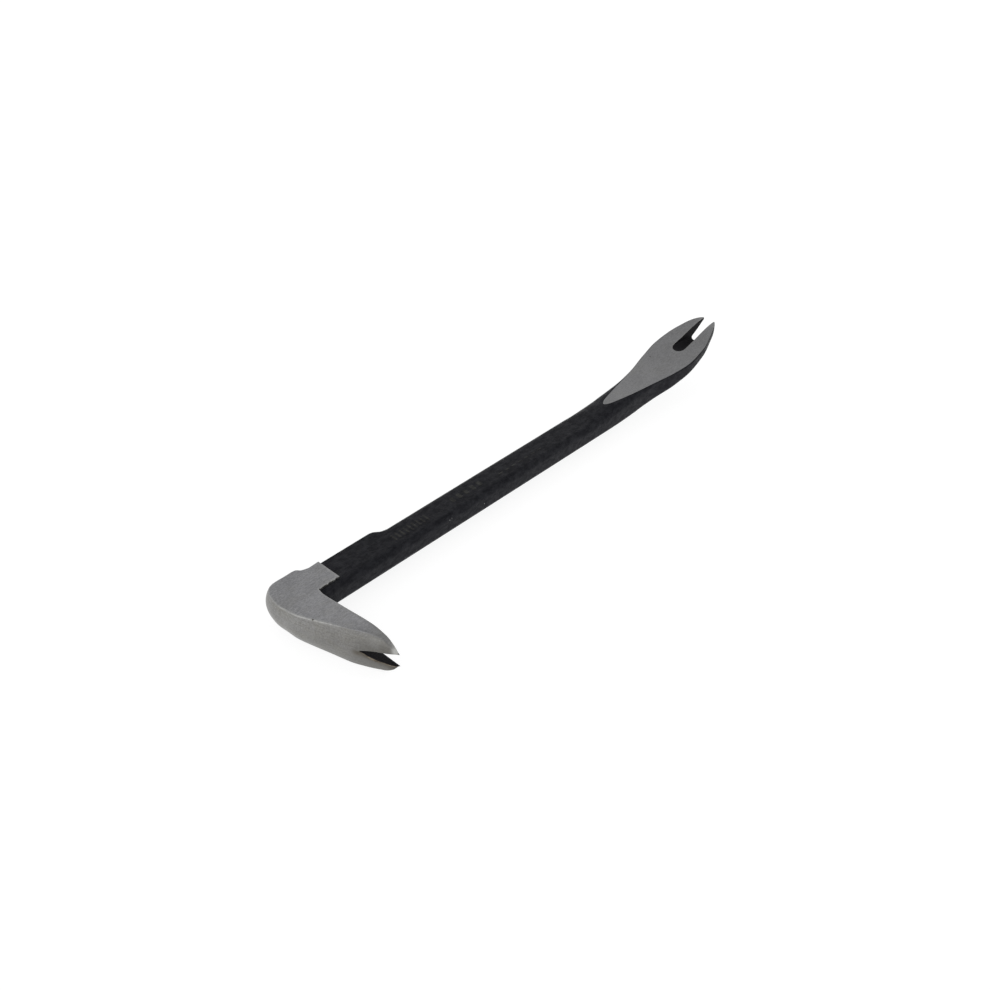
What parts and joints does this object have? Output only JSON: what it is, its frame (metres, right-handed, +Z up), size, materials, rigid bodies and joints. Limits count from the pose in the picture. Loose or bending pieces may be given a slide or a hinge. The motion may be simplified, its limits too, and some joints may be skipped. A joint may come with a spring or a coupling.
{
  "type": "claw pry bar",
  "caption": "Double-ended forged steel pry bar: a hooked claw with a V nail slot at one end, an upturned flat claw with a U nail slot at the other, black-coated shank.",
  "frame": {"origin": "middle of the underside of the object's box, with the bar lying on its side", "axes": "+X along the shank from the hooked head to the flat claw, +Z up and square to the plane of the hook, -Y the way the hooked claw points"},
  "size_m": [0.2546, 0.0601, 0.0257],
  "materials": {
    "ground_steel": "ground bare steel with fine directional grinding marks",
    "black_coat": "satin black coat over forged steel, slightly uneven"
  },
  "bodies": {
    "root": {"forged_bar": "ground_steel", "black_coating": "black_coat"}
  },
  "joints": []
}
